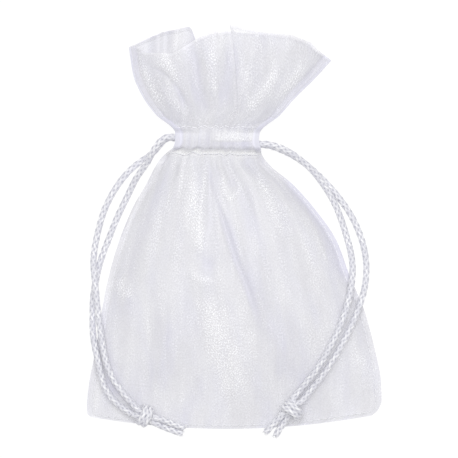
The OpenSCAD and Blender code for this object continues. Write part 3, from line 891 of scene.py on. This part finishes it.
def cloth_piece(name, grids, node, material):
    x, y, z, shimmer = grids[:4]
    points = np.stack([x, y, z], axis=2).reshape(-1, 3)
    faces = grid_faces(*x.shape)
    return piece(name, "pouch", node,
                 (points, faces, {"weave": flat_place(x, y, z), "shimmer": shimmer.ravel(),
                   "dense": density_of(grids).ravel()}), material)


def upsample(field, shape):
    """A coarse grid of values at the size of the fine grid, by linear interpolation."""
    rows = np.linspace(0, field.shape[0] - 1, shape[0])
    columns = np.linspace(0, field.shape[1] - 1, shape[1])
    down, across = np.arange(field.shape[0]), np.arange(field.shape[1])
    tall = np.stack([np.interp(rows, down, field[:, j]) for j in range(field.shape[1])], axis=1)
    return np.stack([np.interp(columns, across, tall[i]) for i in range(shape[0])])


BUMP_GRID = (116, 90)
BUMP_HEIGHT = 0.04


def roughened(grids, seed):
    """The cloth with small random bumps. Its folds come from formulas: no cloth simulation is run."""
    x, y, z = grids[:3]
    bumps = np.random.default_rng(seed).uniform(-BUMP_HEIGHT, BUMP_HEIGHT, BUMP_GRID)
    return (x, y, z + upsample(bumps, x.shape)) + tuple(grids[3:])


COLUMNS, CLOTH_ROWS = 200, 260

front = front_sheet(COLUMNS, CLOTH_ROWS)
back = back_sheet(COLUMNS, CLOTH_ROWS)
front = roughened(front, seed=1)
back = roughened(back, seed=2)
front = (front[0], front[1], below_cords(front[0], front[1], front[2])) + tuple(front[3:])
back = (back[0], back[1], np.maximum(back[2], LOWEST_CLOTH)) + tuple(back[3:])
front_cloth = cloth_piece("front_organza", front, "front_panel", FRONT)
back_cloth = cloth_piece("back_organza", back, "back_panel", BACK)


# the facing's flat stretch in the casing, between the cords' front and back runs and their far bends
FRONT_WALL_Z, BACK_WALL_Z = 9.0, 3.5
WALL_CENTRE_X, WALL_HALF_WIDTH = -5.1, 5.6


def facing_sheet(grids, front_side):
    """The turned-in cloth: a lining of the frill, a touch inside it, and the inner wall of the casing."""
    keep = grids[5][:, 0] > WAIST_LOW - 0.3
    x, y, z, shimmer, u, s, q = (g[keep] for g in grids)
    inside, wall = (-1, FRONT_WALL_Z) if front_side else (1, BACK_WALL_Z)
    lined = z + inside * (0.32 + 0.25 * np.sin(math.pi * np.clip(q, 0, 1)))
    z = wall + (lined - wall) * smoothstep(q, 0.0, 0.08)
    y = y - 0.35 * smoothstep(q, 0.9, 1.0)
    width = (x[:, [-1]] - x[:, [0]]) / 2
    narrow = WALL_CENTRE_X + (x - (x[:, [0]] + width)) * (WALL_HALF_WIDTH / width)
    x = narrow + (x - narrow) * smoothstep(q, 0.0, 0.12)
    columns = slice(int(x.shape[1] * 0.012), int(x.shape[1] * 0.988))
    return tuple(g[:, columns] for g in (x, y, z, shimmer, u, s, q))


front_lining = cloth_piece("front_facing", facing_sheet(front, True),
                           "front_casing_facing", FACING)
back_lining = cloth_piece("back_facing", facing_sheet(back, False),
                          "back_casing_facing", FACING)

# ---------------------------------------------------------------- stitching


def row_of(grids, station, lift, trim):
    """The points of the grid's row nearest to the station, lift above the cloth, trim short at each end."""
    x, y, z = grids[:3]
    i = int(np.argmin(np.abs(grids[5][:, 0] - station)))
    columns = slice(trim, x.shape[1] - trim)
    return np.stack([x[i, columns], y[i, columns], z[i, columns] + lift], axis=1)


def column_of(grids, j, lift, low, high):
    """The points of the grid's column j whose station is from low to high, lift above the cloth."""
    x, y, z, s = grids[0], grids[1], grids[2], grids[5]
    keep = (s[:, 0] > low) & (s[:, 0] < high)
    return np.stack([x[keep, j], y[keep, j], z[keep, j] + lift], axis=1)


def stitches(line, length, gap, radius, down):
    """Separate stitches along a line, each with its ends dipping into the cloth."""
    run = np.concatenate([[0], np.cumsum(np.linalg.norm(np.diff(line, axis=0), axis=1))])

    def at(d):
        return np.array([np.interp(d, run, line[:, k]) for k in range(3)])

    parts = []
    d = 0.2
    while d + length < run[-1]:
        stops = [(0.0, down), (0.18, 0.3 * down), (0.5, 0.0), (0.82, 0.3 * down), (1.0, down)]
        pts = [at(d + k * length) + np.array([0, 0, -h]) for k, h in stops]
        parts.append(thread_tube(spline(pts, 0.25), radius))
        d += length + gap
    return join_parts(parts)


THREAD_R, SEAM_THREAD_R = 0.11, 0.1
CASING_STITCH, CASING_STITCH_GAP, CASING_STITCH_TRIM = 1.5, 0.35, 6
SEAM_STITCH, SEAM_STITCH_GAP, SEAM_STITCH_DIP = 1.7, 0.4, 0.2
SEAM_LOW_Y, SEAM_COLUMN, BOTTOM_SEAM_INSET, BOTTOM_SEAM_TRIM = -56, 4, 1.2, 5


def seam_piece(name, node, line):
    """One seam's stitches."""
    piece(name, "pouch", node,
          stitches(line, SEAM_STITCH, SEAM_STITCH_GAP, SEAM_THREAD_R, SEAM_STITCH_DIP), THREAD)


for name, grids, station, lift, down in (
    ("front_upper_casing_stitch", front, WAIST_HIGH + 0.15, 0.22, 0.3),
    ("front_lower_casing_stitch", front, WAIST_LOW - 0.15, 0.22, 0.3),
    ("back_upper_casing_stitch", back, WAIST_HIGH + 0.15, -0.22, -0.3),
    ("back_lower_casing_stitch", back, WAIST_LOW - 0.15, -0.22, -0.3),
):
    piece(name + "es", "pouch", name,
          stitches(row_of(grids, station, lift, CASING_STITCH_TRIM), CASING_STITCH, CASING_STITCH_GAP,
                   THREAD_R, down), THREAD)

for side, j in (("left", SEAM_COLUMN), ("right", COLUMNS - 1 - SEAM_COLUMN)):
    seam_piece(f"{side}_seam_stitches", f"{side}_side_seam",
               column_of(front, j, 0.08, SEAM_LOW_Y, WAIST_LOW - 3))
seam_piece("bottom_seam_stitches", "bottom_seam",
           row_of(front, STATIONS[0] + BOTTOM_SEAM_INSET, 0.16, BOTTOM_SEAM_TRIM))

# ---------------------------------------------------------------- floor, light and colour


FLOOR_HALF, FLOOR_DROP = 1500, 0.02
FLOOR_GREY, FLOOR_GLOW = 0.09, 0.93
WORLD_STRENGTH = 0.53
# in metres and watts
KEY_PLACE, KEY_SIZE, KEY_POWER = (0.02, 0.2, 0.95), 0.7, 5.9
CLOTH_LAYERS_SEEN = 24


def make_floor():
    """A white floor that glows, so that it shines through the sheer cloth and stays pale."""
    n = Nodes("floor_white")
    n.shader(Base_Color=(FLOOR_GREY, FLOOR_GREY, FLOOR_GREY, 1), Roughness=0.9,
             Emission_Color=(1, 1, 1, 1), Emission_Strength=FLOOR_GLOW)
    corners = [(x * FLOOR_HALF, y * FLOOR_HALF, 0) for x, y in ((-1, -1), (1, -1), (1, 1), (-1, 1))]
    floor = mesh_object("floor", corners, [(0, 1, 2, 3)], n.material)
    floor.location.z = -FLOOR_DROP * MM


def area_light(name, place, size, power):
    data = bpy.data.lights.new(name, "AREA")
    data.shape = "DISK"
    data.size = size
    data.energy = power
    light = bpy.data.objects.new(name, data)
    light.location = place
    light.rotation_euler = (-Vector(place)).to_track_quat("-Z", "Y").to_euler()
    bpy.context.scene.collection.objects.link(light)


def make_light():
    world = bpy.data.worlds.new("studio")
    bpy.context.scene.world = world
    world.use_nodes = True
    background = world.node_tree.nodes["Background"]
    background.inputs[0].default_value = (1, 1, 1, 1)
    background.inputs[1].default_value = WORLD_STRENGTH
    area_light("key", KEY_PLACE, KEY_SIZE, KEY_POWER)
    bpy.context.scene.view_settings.view_transform = "Standard"
    bpy.context.scene.view_settings.look = "None"
    bpy.context.scene.cycles.transparent_max_bounces = CLOTH_LAYERS_SEEN


make_floor()
make_light()
